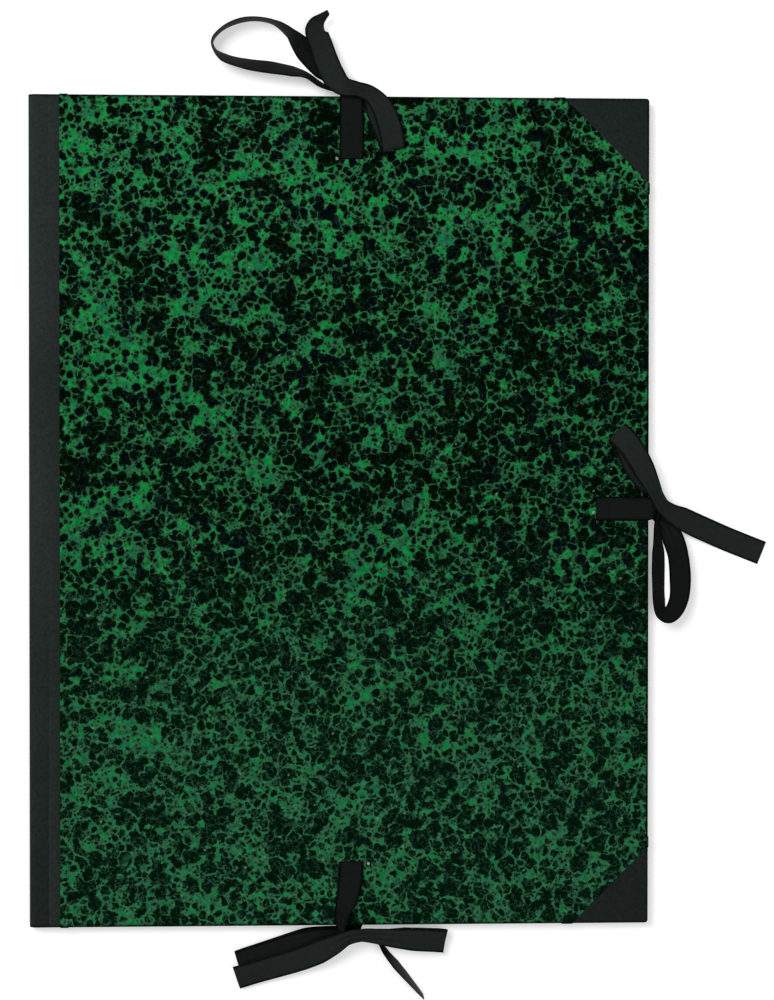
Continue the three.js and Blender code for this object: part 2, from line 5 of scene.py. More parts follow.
import bpy
from mathutils import Euler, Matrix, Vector


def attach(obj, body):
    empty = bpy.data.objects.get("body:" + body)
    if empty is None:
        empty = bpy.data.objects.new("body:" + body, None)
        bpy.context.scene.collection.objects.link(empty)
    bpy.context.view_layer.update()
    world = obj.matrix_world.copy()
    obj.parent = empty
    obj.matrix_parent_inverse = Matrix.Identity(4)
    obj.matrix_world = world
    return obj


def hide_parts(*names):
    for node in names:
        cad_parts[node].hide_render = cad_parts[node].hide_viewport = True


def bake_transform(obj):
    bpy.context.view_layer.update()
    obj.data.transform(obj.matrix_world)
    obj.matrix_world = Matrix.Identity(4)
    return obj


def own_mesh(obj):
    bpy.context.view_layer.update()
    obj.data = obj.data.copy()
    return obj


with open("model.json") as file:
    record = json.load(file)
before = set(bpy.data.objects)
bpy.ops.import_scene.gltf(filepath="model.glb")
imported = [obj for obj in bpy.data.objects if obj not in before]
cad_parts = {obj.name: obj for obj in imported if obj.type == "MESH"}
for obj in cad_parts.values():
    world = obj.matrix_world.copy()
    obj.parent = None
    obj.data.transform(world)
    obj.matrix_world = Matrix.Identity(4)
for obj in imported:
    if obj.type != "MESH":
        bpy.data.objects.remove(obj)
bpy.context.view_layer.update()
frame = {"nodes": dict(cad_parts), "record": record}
MM = 0.001

# Sizes of the CAD model that the pieces here repeat, in millimetres
CLOSED = 6.5
MIDDLE = CLOSED / 2
SHEET = 0.25
BOARD = 2.0
BOARD_LOW = 2 * SHEET
BOARD_HIGH = BOARD_LOW + BOARD
BOARD_EDGE_X = -119.5
CLOTH_EDGE_X = -111.75
HINGE_EDGE_X = -93.5
ROUND_X = -124.5
ROUND_RADIUS = 3.0
FORE_X = 127.0
HEAD_Y = 170.0
COVER_FORE_X = FORE_X + 2 * SHEET
COVER_HEAD_Y = HEAD_Y + 2 * SHEET
TURN_IN = 15.0
HINGE_PLAY = 0.05
RIBBON = 10.0
RIBBON_THICK = 0.3
SLIT = 1.0
END_SLIT_X = 4.5
FORE_SLIT_Y = 1.25
GLUED = 20.0
GLUED_HEIGHT = 2.3125
RIBBON_REST = 0.17


def add_camera(place, turn, lens):
    """The camera, placed in metres and turned in degrees."""
    data = bpy.data.cameras.new("camera")
    data.sensor_fit = "HORIZONTAL"
    data.sensor_width = 36
    data.lens = lens
    data.clip_end = 20
    camera = bpy.data.objects.new("camera", data)
    camera.location = place
    camera.rotation_euler = Euler([math.radians(a) for a in turn])
    bpy.context.scene.collection.objects.link(camera)
    bpy.context.scene.camera = camera


# The photograph was taken from about a metre above, a little left of the folder's middle.
add_camera(place=(-0.0282, 0.0204, 1.0038), turn=(-0.894, -2.712, 0.03), lens=113)


def add_object(name, vertices, faces, uvs=None, smooth=True):
    """A mesh object from points in millimetres."""
    mesh = bpy.data.meshes.new(name)
    mesh.from_pydata([Vector(v) * MM for v in vertices], [], faces)
    if uvs is not None:
        layer = mesh.uv_layers.new(name="UVMap")
        for loop in mesh.loops:
            layer.data[loop.index].uv = uvs[loop.vertex_index]
    mesh.polygons.foreach_set("use_smooth", [smooth] * len(mesh.polygons))
    mesh.update()
    piece = bpy.data.objects.new(name, mesh)
    bpy.context.scene.collection.objects.link(piece)
    return piece


# A cover's edge: the point on it beside the slit, the directions along it and out from it, and
# how far in from it the slit lies.
Edge = namedtuple("Edge", "origin along out inset")
RIGHT = Vector((1, 0, 0))
UP_PAGE = Vector((0, 1, 0))
EDGES = {
    "head": Edge(Vector((END_SLIT_X, COVER_HEAD_Y, 0)), RIGHT, UP_PAGE, inset=25.5),
    "fore": Edge(Vector((COVER_FORE_X, FORE_SLIT_Y, 0)), UP_PAGE, RIGHT, inset=21.5),
    "tail": Edge(Vector((END_SLIT_X, -COVER_HEAD_Y, 0)), RIGHT, -UP_PAGE, inset=26.0),
}

# The ribbons. Each row is: along the edge, out from the edge, height, compass turn and tilt of
# the direction in which the ribbon's width lies, and its width there. Front heights are from the
# closed folder's top and back heights from the table, in millimetres.
FRONT_BOWS = {
    "head": [
        [0, -13, -0.17, 0, 0, 10],
        [0, -1, -0.17, 0, 0, 10],
        [0, 0.9, -0.12, 0, 2, 9.2],
        [-0.2, 2.1, -0.4, -10, 30, 6.2],
        [0.2, 3.2, -0.65, -40, 70, 3.6],
        [1.9, 4.2, -0.65, -70, 85, 3.2],
        [4.2, 3.8, -0.5, -95, 70, 3.6],
        [6.6, 2.2, 0.1, -115, 35, 5.5],
        [8.6, -0.8, 0.5, -132, 8, 8],
        [10.4, -5.4, 0.5, -148, 0, 9.6],
        [12.8, -11, 0.45, -155, 0, 10],
        [15, -16.5, 0.45, -161, 0, 10],
        [16.4, -20.6, 0.6, -166, 0, 10],
        [16.95, -21.9, 1.2, -170, 0, 10],
        [16.85, -21, 2, -170, 0, 10],
        [16.4, -17, 2.7, -166, 3, 10],
        [14.9, -11, 3.1, -156, 6, 10],
        [12, -4.6, 3.2, -145, 8, 9],
        [7.6, 0.2, 2.7, -130, 8, 7],
        [2.2, 2.4, 2, -110, 4, 6],
        [-3.6, 3.6, 1.7, -115, 0, 8],
        [-7.2, 7.4, 1.2, -138, -3, 9.8],
        [-10.2, 13.5, 0.6, -154, 0, 10],
        [-12.7, 20.5, 0.9, -159, 12, 10],
        [-14.4, 26.5, 0.5, -166, 18, 10],
        [-12.8, 30.8, -0.6, -200, 60, 8],
        [-9.6, 34.2, -0.8, -216, 80, 4],
    ],
    "fore": [
        [0, -11, -0.17, 0, 0, 10],
        [0, -1, -0.17, 0, 0, 10],
        [0.3, 0.9, -0.12, 0, 2, 9.2],
        [0.6, 2.1, -0.4, -10, 30, 6.2],
        [1.4, 3.3, -0.65, -35, 70, 3.6],
        [3.2, 4, -0.65, -85, 82, 3.2],
        [5.6, 3.2, -0.4, -110, 60, 4],
        [8, 1, 0.4, -124, 22, 6.5],
        [11.2, -1.8, 0.6, -126, 5, 8.8],
        [16.8, -5.4, 0.5, -119, 0, 10],
        [23.2, -8.4, 0.4, -117, 0, 10],
        [28.4, -11, 0.4, -124, 0, 10],
        [30.8, -12.9, 0.6, -132, 0, 10],
        [31.6, -13.7, 1.5, -133, 0, 10],
        [30.9, -12.9, 2.5, -133, 0, 10],
        [27.5, -9.6, 3.4, -128, 4, 10],
        [22, -5.9, 3.9, -121, 8, 10],
        [16, -2.6, 3.8, -117, 10, 9.4],
        [10.4, 0.4, 3.1, -116, 10, 7.6],
        [5.2, 3, 2.1, -118, 5, 6],
        [1.2, 5.4, 1.5, -125, 0, 6.2],
        [-1.6, 9, 0.5, -146, 0, 7.5],
        [-4, 13.6, -0.8, -152, 0, 9.6],
        [-6.8, 19.5, -2.8, -155, 0, 10],
        [-9.6, 26, -4.6, -156, 0, 10],
        [-12.6, 33, -5.6, -157, 0, 10],
        [-15.6, 40.5, -6, -158, 0, 10],
        [-18.6, 48.1, -6.15, -158, 0, 10],
    ],
    "tail": [
        [0, -24.5, -0.1, 0, 0, 10],
        [-0.6, -18, 0.3, 0, 2, 10],
        [-2, -11, 0.8, 2, 8, 8.8],
        [-3.6, -5.5, 1.3, 8, 18, 6.6],
        [-4.3, -0.8, 1.7, 8, 30, 4.8],
        [-3.4, 2.3, 0.1, -10, 55, 3.6],
        [-0.8, 3.4, -0.5, -60, 75, 3.2],
        [3.4, 3.6, -0.6, -88, 75, 3.2],
        [8, 3.8, -0.5, -86, 45, 4.6],
        [13.5, 4.6, -1.1, -82, 30, 7.6],
        [21, 5.6, -2.3, -82, 18, 9.6],
        [29, 6.2, -2.9, -82, 14, 10],
        [35.5, 6.6, -3.1, -80, 12, 10],
        [38.2, 6.9, -2.6, -80, 12, 10],
        [38.7, 7, -1.6, -80, 12, 10],
        [37.6, 6.9, -0.6, -80, 12, 10],
        [33, 6.4, 0.3, -80, 12, 10],
        [25.5, 5.8, 1.2, -80, 12, 9.8],
        [17.5, 5, 2.1, -82, 12, 8.4],
        [10.5, 4, 2.7, -86, 8, 6.6],
        [4, 3.4, 2.9, -90, 4, 5.4],
        [-2, 4.6, 2.7, -105, 0, 6],
        [-7.4, 7.6, 1.7, -118, 0, 8.2],
        [-13.5, 10.8, 0.1, -117, 0, 9.8],
        [-20.5, 13.7, -1.1, -112, 5, 10],
        [-29, 16.3, -1.9, -108, 10, 10],
        [-38.5, 19.1, -2.6, -107, 12, 10],
        [-47.4, 21.8, -3.2, -107, 12, 10],
    ],
}

BACK_BOWS = {
    "head": [
        [0, -13, 0.17, 0, 0, 10],
        [0, -2.5, 0.17, 0, 0, 10],
        [0, -1, 0.17, 0, 0, 10],
        [0, 0.8, 0.32, 0, 0, 9],
        [-0.4, 2.4, 0.9, 10, 5, 6],
        [-1.8, 4.6, 1.4, 35, 15, 5.2],
        [-5.6, 7.6, 1.8, 45, 16, 7],
        [-11.8, 12.2, 2.4, 50, 20, 10],
        [-18.4, 18.4, 3.2, 48, 30, 10],
        [-25, 25.4, 5, 52, 74, 10],
        [-32, 29.9, 5.2, 70, 88, 10],
        [-41, 31.2, 5.2, 92, 90, 10],
        [-48.8, 29.4, 5.2, 112, 90, 10],
        [-54.2, 26, 5.2, 140, 89, 10],
        [-56.9, 22.2, 5.2, 175, 88, 10],
        [-55.9, 18.6, 5.1, 225, 80, 10],
        [-52.3, 15.6, 4.7, 247, 64, 10],
        [-43, 13, 4.4, 258, 55, 10],
        [-32.6, 11.6, 4.3, 261, 53, 10],
        [-24.4, 10.2, 4.3, 258, 55, 9.8],
        [-18.2, 8.6, 4.3, 240, 66, 8.6],
        [-12.6, 5, 3.4, 232, 70, 6.4],
        [-7, 2.9, 2.4, 250, 78, 3.6],
        [-1.5, 2.2, 2.75, 268, 80, 2.4],
        [2.8, 2.8, 2.75, 300, 80, 2.4],
        [4.4, 5, 2.75, 360, 80, 2.4],
    ],
    "fore": [
        [0, -11, 0.17, 0, 0, 10],
        [0, -1, 0.17, 0, 0, 10],
        [0, -0.3, 0.17, 0, 0, 10],
        [0, 0.5, 0.21, 4, 0, 9.8],
        [-0.2, 1.5, 0.62, 12, 0, 8.4],
        [-1.2, 3.1, 1.3, 38, 3, 6.5],
        [-3.6, 5.4, 1.7, 50, 14, 6],
        [-7.6, 8.2, 2.2, 50, 20, 7.6],
        [-12.6, 10.6, 2.7, 62, 26, 9.4],
        [-19.5, 12.6, 3.6, 75, 40, 10],
        [-29.8, 13.5, 3.7, 88, 40, 10],
        [-37.5, 12.9, 4, 98, 47, 10],
        [-42.6, 10.6, 4.4, 125, 54, 10],
        [-44.6, 7.6, 4.6, 175, 58, 10],
        [-42.8, 5.2, 4.5, 230, 55, 10],
        [-38, 4.4, 4.3, 262, 51, 10],
        [-28, 4.1, 4.3, 270, 51, 10],
        [-18, 4.1, 4.3, 270, 51, 10],
        [-10.5, 3.8, 3.9, 270, 60, 8],
        [-5.6, 3.9, 2.9, 270, 66, 4.6],
        [-1.8, 3.8, 2.7, 270, 80, 2.4],
        [2.5, 3.8, 2.7, 270, 80, 2.4],
    ],
    "tail": [
        [0, -13, 0.17, 0, 0, 10],
        [0, -1, 0.17, 0, 0, 10],
        [0, -0.3, 0.17, 0, 0, 10],
        [0, 0.5, 0.21, 5, 0, 9.8],
        [-0.2, 1.5, 0.62, 22, 0, 8.4],
        [-1.6, 2.9, 1.1, 50, 3, 6.4],
        [-5, 4, 1.3, 72, 8, 6.4],
        [-10.5, 5.2, 1.2, 75, 8, 8.4],
        [-18, 6.6, 1.2, 72, 5, 10],
        [-27, 9.4, 1, 70, 3, 10],
        [-36, 12.4, 0.9, 71, 2, 10],
        [-43.5, 14.8, 0.9, 72, 2, 10],
        [-46.2, 15.7, 1.3, 72, 2, 10],
        [-46.7, 15.8, 2.1, 72, 2, 10],
        [-45.6, 15.4, 2.9, 72, 2, 10],
        [-40, 13.6, 3.4, 71, 2, 10],
        [-31, 10.8, 3.8, 70, 2, 10],
        [-22, 7.9, 4, 71, 0, 10],
        [-13.5, 5.8, 3.7, 76, 0, 8.6],
        [-7, 4.3, 3, 84, 20, 5],
        [-1, 3.6, 2.8, 90, 60, 2.6],
        [4.5, 3.6, 2.6, 100, 75, 2.4],
        [8.6, 5, 2.2, 118, 80, 2.6],
        [12, 8.4, 2.2, 138, 84, 3.6],
        [15.2, 12.4, 4.2, 141, 78, 8],
        [18.6, 16.6, 5.15, 141, 76, 10],
        [22.2, 20.8, 5.2, 141, 78, 10],
        [26, 25.3, 5.2, 140, 84, 10],
        [29.8, 29.8, 5.15, 140, 90, 10],
    ],
}


def through_slit(inset, inner, outer):
    """The glued end and the way through the slit, as rows."""
    turn = SLIT / 2
    straight = 1.5 * turn
    rise = math.copysign(1, outer - inner)
    points = [
        (-inset - GLUED, inner),
        (-inset - GLUED / 2, inner),
        (-inset - turn - straight, inner),
    ]
    for angle in (0, math.pi / 4, math.pi / 2):
        out = -inset - turn * (1 - math.sin(angle))
        points.append((out, inner + rise * turn * (1 - math.cos(angle))))
    for angle in (0, math.pi / 4, math.pi / 2):
        out = -inset + turn * (1 - math.cos(angle))
        points.append((out, outer - rise * turn * (1 - math.sin(angle))))
    points.append((-inset + turn + straight, outer))
    return [(0, out, height, 0, 0, RIBBON) for out, height in points]


def smooth_point(points, segment, t):
    """A point and a direction on the centripetal Catmull-Rom line through the points."""
    p1, p2 = points[segment], points[segment + 1]
    p0 = points[segment - 1] if segment else p1 * 2 - p2
    p3 = points[segment + 2] if segment + 2 < len(points) else p2 * 2 - p1
    d0, d1, d2 = (math.sqrt((b - a).length) for a, b in ((p0, p1), (p1, p2), (p2, p3)))
    t1 = ((p1 - p0) / d0 - (p2 - p0) / (d0 + d1) + (p2 - p1) / d1) * d1
    t2 = ((p2 - p1) / d1 - (p3 - p1) / (d1 + d2) + (p3 - p2) / d2) * d1
    c2 = p1 * -3 + p2 * 3 - t1 * 2 - t2
    c3 = p1 * 2 - p2 * 2 + t1 + t2
    place = p1 + t1 * t + c2 * t**2 + c3 * t**3
    return place, (t1 + c2 * 2 * t + c3 * 3 * t**2).normalized()


# Steps from row to row, parts across each face of the ribbon, and points in a ring round it
STEPS = 6
ACROSS = 24
RING = 2 * (ACROSS + 1)

# The ribbon's relief in millimetres: pleats where it is drawn together, and a slight curl and
# ripple where it is free. It is fully free this high off its cover or this far past the edge.
PLEAT = 0.75
PLEAT_SHIFT = 0.1
CURL = 0.12
RIPPLE = 0.1
RIPPLE_PACE = 0.31
FREE_HEIGHT = 0.4
FREE_OUT = 2.0
FREE_LENGTH = GLUED + 5
FLOOR = 0.01


def width_direction(edge, turn, tilt, tangent):
    """The direction in which the width lies, square to the ribbon's way."""
    turn, tilt = math.radians(turn), math.radians(tilt)
    side = edge.along * math.cos(turn) * math.cos(tilt)
    side += edge.out * math.sin(turn) * math.cos(tilt)
    side += Vector((0, 0, math.sin(tilt)))
    return (side - tangent * side.dot(tangent)).normalized()


def looseness(edge, centre, rest, length, gather):
    """Nought where the ribbon is glued or lies on its cover, and up to one where it is free."""
    if length <= FREE_LENGTH:
        return 0.0
    risen = abs(centre.z - rest) / FREE_HEIGHT
    past_edge = (centre - edge.origin).dot(edge.out) / FREE_OUT
    return min(1.0, max(risen, past_edge, 0.0)) * (1 - gather)


def relief(u, length, gather, loose):
    """How far the cloth stands off the flat band at u, which is -1 to 1 across the ribbon."""
    pleat = PLEAT * math.sqrt(gather) * min(1.0, 3 * gather)
    lift = pleat * math.sin(3 * math.pi * u + PLEAT_SHIFT * length)
    ripple = RIPPLE * math.sin(RIPPLE_PACE * length)
    return lift + (CURL * (u * u - 0.4) + ripple * u) * loose


def thickness(gather):
    """The band's thickness, which is less where it is gathered."""
    return RIBBON_THICK * (0.9 - 0.35 * min(1.0, 2 * gather))


def band_faces(steps):
    """The faces between the rings: upper and lower side, both edges and both ends."""
    faces = []
    lower = ACROSS + 1
    for step in range(steps):
        a, b = step * RING, (step + 1) * RING
        for k in range(ACROSS):
            m = lower + k
            faces.append((a + k, a + k + 1, b + k + 1, b + k))
            faces.append((a + m + 1, a + m, b + m, b + m + 1))
        faces.append((a + lower, a, b, b + lower))
        faces.append((a + ACROSS, a + lower + ACROSS, b + lower + ACROSS, b + ACROSS))
    end = steps * RING
    for k in range(ACROSS):
        m = lower + k
        faces.append((k + 1, k, m, m + 1))
        faces.append((end + k, end + k + 1, end + m + 1, end + m))
    return faces


def ribbon_piece(name, edge, rows, rest):
    """A thin woven band along the rows, and the line of its middle in metres."""
    points = [
        edge.origin + edge.along * r[0] + edge.out * r[1] + Vector((0, 0, r[2])) for r in rows
    ]
    vertices, uvs, path = [], [], []
    length = 0.0
    last = points[0]
    total = (len(rows) - 1) * STEPS
    for step in range(total + 1):
        segment = min(step // STEPS, len(rows) - 2)
        t = step / STEPS - segment
        centre, tangent = smooth_point(points, segment, t)
        turn, tilt, width = (
            a + (b - a) * t for a, b in zip(rows[segment][3:], rows[segment + 1][3:])
        )
        side = width_direction(edge, turn, tilt, tangent)
        up = tangent.cross(side).normalized()
        length += (centre - last).length
        last = centre
        path.append(centre * MM)
        gather = max(1 - width / RIBBON, 0.0)
        loose = looseness(edge, centre, rest, length, gather)
        for face in (1, -1):
            for k in range(ACROSS + 1):
                u = 2 * k / ACROSS - 1
                lift = relief(u, length, gather, loose) + face * thickness(gather) / 2
                vertex = centre + side * (u * width / 2) + up * lift
                vertex.z = max(vertex.z, FLOOR)
                vertices.append(vertex)
                uvs.append((u * RIBBON / 2 * MM, length * MM))
    return add_object(name, vertices, band_faces(total), uvs), path


# The heights at which the ribbons rest and at which their ends are glued, in millimetres
REST_HEIGHTS = {"front": CLOSED - RIBBON_REST, "back": RIBBON_REST}
GLUED_HEIGHTS = {"front": CLOSED - GLUED_HEIGHT, "back": GLUED_HEIGHT}


def ribbon_rows(cover, edge_name):
    """All the rows of one ribbon, with heights from the table."""
    bow = BACK_BOWS[edge_name]
    if cover == "front":
        bow = [(r[0], r[1], CLOSED + r[2], *r[3:]) for r in FRONT_BOWS[edge_name]]
    inset = EDGES[edge_name].inset
    return through_slit(inset, GLUED_HEIGHTS[cover], REST_HEIGHTS[cover]) + bow


ribbons = []
for edge_name, edge in EDGES.items():
    for cover in ("front", "back"):
        node = f"{cover}_{edge_name}_ribbon"
        height = REST_HEIGHTS[cover]
        piece, path = ribbon_piece(f"{node}_woven", edge, ribbon_rows(cover, edge_name), height)
        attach(piece, f"{cover}_cover")
        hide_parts(node)
        if cover == "front":
            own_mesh(piece)
        ribbons.append(piece)


# The cloth of the spine. The board parts are stiff, with their covers; the round part stays
# fixed.
CLOTH_END_Y = HEAD_Y + SHEET
TURNED_Y = HEAD_Y - TURN_IN
HINGE_END_Y = TURNED_Y - HINGE_PLAY
ARC_STEPS = 28
SOFT_EDGE = 0.1


def bevelled(piece, flip):
    """The piece with slightly rounded edges. A flipped one has its faces turned outwards."""
    if flip:
        piece.data.flip_normals()
    soft = piece.modifiers.new("soft_edges", "BEVEL")
    soft.width = SOFT_EDGE * MM
    soft.segments = 2
    soft.limit_method = "ANGLE"
    soft.harden_normals = True
    return piece


def side_faces(n):
    """The faces between two outlines of n points."""
    return [(k, (k + 1) % n, n + (k + 1) % n, n + k) for k in range(n)]


def end_faces(n):
    """The two ends of a prism, split into quads between the C's outer and inner line."""
    faces = []
    for k in range(n // 2 - 1):
        a, b, c, d = k, k + 1, n - 2 - k, n - 1 - k
        faces += [(a, d, c, b), (n + a, n + b, n + c, n + d)]
    return faces


def cloth_on_board(name, flip):
    """The spine cloth on a board, with its two turned-in ends. A flipped one is in front."""
    low, high = BOARD_LOW - SHEET, BOARD_HIGH + SHEET
    outline = [(TURNED_Y, high), (CLOTH_END_Y, high), (CLOTH_END_Y, low)]
    outline += [(-CLOTH_END_Y, low), (-CLOTH_END_Y, high), (-TURNED_Y, high)]
    outline += [(-TURNED_Y, BOARD_HIGH), (-HEAD_Y, BOARD_HIGH), (-HEAD_Y, BOARD_LOW)]
    outline += [(HEAD_Y, BOARD_LOW), (HEAD_Y, BOARD_HIGH), (TURNED_Y, BOARD_HIGH)]
    vertices = []
    for x in (BOARD_EDGE_X, CLOTH_EDGE_X):
        vertices += [(x, y, CLOSED - z if flip else z) for y, z in outline]
    n = len(outline)
    piece = add_object(name, vertices, side_faces(n) + end_faces(n), smooth=False)
    return bevelled(piece, flip)


def hinge_on_board(name, flip):
    """The hinge cloth on a board's inner face and down its edge. A flipped one is in front."""
    wall = BOARD_EDGE_X - SHEET
    high = BOARD_HIGH + SHEET
    outline = [(HINGE_EDGE_X, BOARD_HIGH), (HINGE_EDGE_X, high), (wall, high)]
    outline += [(wall, BOARD_LOW), (BOARD_EDGE_X, BOARD_LOW), (BOARD_EDGE_X, BOARD_HIGH)]
    vertices = []
    for y in (-HINGE_END_Y, HINGE_END_Y):
        vertices += [(x, y, CLOSED - z if flip else z) for x, z in outline]
    n = len(outline)
    ends = [(0, 5, 2, 1), (5, 4, 3, 2), (n, n + 1, n + 2, n + 5), (n + 5, n + 2, n + 3, n + 4)]
    piece = add_object(name, vertices, side_faces(n) + ends, smooth=False)
    return bevelled(piece, flip)


def round_band(name, outline, end_x):
    """An outline in Y and depth below the spine's surface, carried round the spine."""
    stations = [(Vector((end_x, 0, MIDDLE - ROUND_RADIUS)), Vector((0, 0, 1)))]
    for k in range(ARC_STEPS + 1):
        angle = -math.pi / 2 - math.pi * k / ARC_STEPS
        outward = Vector((math.cos(angle), 0, math.sin(angle)))
        stations.append((Vector((ROUND_X, 0, MIDDLE)) + outward * ROUND_RADIUS, -outward))
    stations.append((Vector((end_x, 0, MIDDLE + ROUND_RADIUS)), Vector((0, 0, -1))))
    vertices = [p + inward * d + Vector((0, y, 0)) for p, inward in stations for y, d in outline]
    n = len(outline)
    faces = []
    for s in range(len(stations) - 1):
        for k in range(n):
            a, b = s * n + k, s * n + (k + 1) % n
            faces.append((a, a + n, b + n, b))
    return add_object(name, vertices, faces)


def soft_spine():
    outline = [(-CLOTH_END_Y, 0), (CLOTH_END_Y, 0), (CLOTH_END_Y, 2 * SHEET)]
    outline += [(TURNED_Y, 2 * SHEET), (TURNED_Y, SHEET), (-TURNED_Y, SHEET)]
    outline += [(-TURNED_Y, 2 * SHEET), (-CLOTH_END_Y, 2 * SHEET)]
    return round_band("spine_cloth_round", outline, BOARD_EDGE_X)


def soft_hinge():
    outline = [(-HINGE_END_Y, SHEET), (HINGE_END_Y, SHEET)]
    outline += [(HINGE_END_Y, 2 * SHEET), (-HINGE_END_Y, 2 * SHEET)]
    return round_band("hinge_cloth_round", outline, BOARD_EDGE_X - SHEET)


cloth_pieces = []
for cover, flip in (("back", False), ("front", True)):
    on_board = cloth_on_board(f"spine_cloth_{cover}", flip)
    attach(on_board, f"{cover}_cover")
    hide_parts("spine_cloth")
    hinge = hinge_on_board(f"hinge_cloth_{cover}", flip)
    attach(hinge, f"{cover}_cover")
    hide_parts("inner_hinge_cloth")
    cloth_pieces += [on_board, hinge]
for piece, node in ((soft_spine(), "spine_cloth"), (soft_hinge(), "inner_hinge_cloth")):
    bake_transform(piece)
    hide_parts(node)
    cloth_pieces.append(piece)


class Net:
    """A material's net of nodes, which is written through a few helpers."""

    def __init__(self, name):
        self.material = bpy.data.materials.new(name)
        self.material.use_nodes = True
        self.tree = self.material.node_tree
        self.tree.nodes.clear()
        self.shader = self.add("ShaderNodeBsdfPrincipled")
        self.output = self.add("ShaderNodeOutputMaterial")
        self.link(self.shader.outputs["BSDF"], self.output.inputs["Surface"])

    def add(self, kind, **settings):
        node = self.tree.nodes.new(kind)
        for key, value in settings.items():
            setattr(node, key, value)
        return node

    def link(self, source, target):
        """A link from a socket, or a plain value set on the target."""
        if isinstance(source, bpy.types.NodeSocket):
            self.tree.links.new(source, target)
        else:
            target.default_value = source

    def math(self, operation, a, b=0.0, c=None):
        node = self.add("ShaderNodeMath", operation=operation)
        self.link(a, node.inputs[0])
        self.link(b, node.inputs[1])
        if c is not None:
            self.link(c, node.inputs[2])
        return node.outputs[0]

    def step(self, value, low, high, to_low=0.0, to_high=1.0):
        """A smooth step from one level to the other while the value goes from low to high."""
        node = self.add("ShaderNodeMapRange", interpolation_type="SMOOTHSTEP")
        self.link(value, node.inputs["Value"])
        node.inputs["From Min"].default_value = low
        node.inputs["From Max"].default_value = high
        node.inputs["To Min"].default_value = to_low
        node.inputs["To Max"].default_value = to_high
        return node.outputs["Result"]

    def mix(self, factor, a, b, blend="MIX"):
        node = self.add("ShaderNodeMix", data_type="RGBA", blend_type=blend)
        self.link(factor, node.inputs[0])
        self.link(a, node.inputs[6])
        self.link(b, node.inputs[7])
        return node.outputs[2]

    def shaded(self, colour, shade):
        return self.mix(1.0, colour, shade, "MULTIPLY")

    def place(self, source="Object"):
        """The place on the object, or on the ribbon's unrolled length, in millimetres."""
        coordinates = self.add("ShaderNodeTexCoord")
        node = self.add("ShaderNodeMapping")
        self.link(coordinates.outputs[source], node.inputs["Vector"])
        node.inputs["Scale"].default_value = (1 / MM, 1 / MM, 1 / MM)
        return node.outputs["Vector"]

    def axes(self, vector):
        node = self.add("ShaderNodeSeparateXYZ")
        self.link(vector, node.inputs[0])
        return node.outputs

    def channels(self, colour):
        node = self.add("ShaderNodeSeparateColor")
        self.link(colour, node.inputs[0])
        return node.outputs

    def noise(self, vector, scale, detail=2.0, roughness=0.5, colour=False):
        node = self.add("ShaderNodeTexNoise")
        self.link(vector, node.inputs["Vector"])
        node.inputs["Scale"].default_value = scale
        node.inputs["Detail"].default_value = detail
        node.inputs["Roughness"].default_value = roughness
        return node.outputs["Color" if colour else "Fac"]

    def cells(self, vector, scale, feature="F1"):
        node = self.add("ShaderNodeTexVoronoi", feature=feature)
        self.link(vector, node.inputs["Vector"])
        node.inputs["Scale"].default_value = scale
        return node.outputs

    def wave(self, vector, direction, scale, distortion):
        node = self.add("ShaderNodeTexWave", bands_direction=direction)
        self.link(vector, node.inputs["Vector"])
        node.inputs["Scale"].default_value = scale
        node.inputs["Distortion"].default_value = distortion
        node.inputs["Detail"].default_value = 1.0
        return node.outputs["Fac"]

    def shifted(self, vector, colour, amount):
        """The vector moved by a coloured noise, at most half the amount each way."""
        centred = self.add("ShaderNodeVectorMath", operation="SUBTRACT")
        self.link(colour, centred.inputs[0])
        centred.inputs[1].default_value = (0.5, 0.5, 0.5)
        scaled = self.add("ShaderNodeVectorMath", operation="SCALE")
        self.link(centred.outputs[0], scaled.inputs[0])
        scaled.inputs["Scale"].default_value = amount
        moved = self.add("ShaderNodeVectorMath", operation="ADD")
        self.link(vector, moved.inputs[0])
        self.link(scaled.outputs[0], moved.inputs[1])
        return moved.outputs[0]

    def edge_shade(self, place):
        """Painted shade along the covers' rounded outer edges: high there, else nought."""
        axes = self.axes(place)
        ragged = self.math("MULTIPLY", self.noise(place, 0.4), 0.9)
        ends = self.math("ADD", self.math("ABSOLUTE", axes["Y"]), ragged)
        ends = self.step(ends, HEAD_Y - 0.6, HEAD_Y + 0.3)
        fore = self.math("ADD", axes["X"], ragged)
        fore = self.step(fore, FORE_X - 0.6, FORE_X + 0.3)
        return self.math("MULTIPLY", self.math("MAXIMUM", ends, fore), 0.75)

    def paint(self, colour):
        self.link(colour, self.shader.inputs["Base Color"])

    def bump(self, height, distance, strength):
        node = self.add("ShaderNodeBump")
        node.inputs["Strength"].default_value = strength
        node.inputs["Distance"].default_value = distance
        self.link(height, node.inputs["Height"])
        self.link(node.outputs["Normal"], self.shader.inputs["Normal"])

    def finish(self, roughness, specular, sheen=0.0, sheen_roughness=0.5):
        self.shader.inputs["Specular IOR Level"].default_value = specular
        self.shader.inputs["Sheen Weight"].default_value = sheen
        self.shader.inputs["Sheen Roughness"].default_value = sheen_roughness
        self.link(roughness, self.shader.inputs["Roughness"])


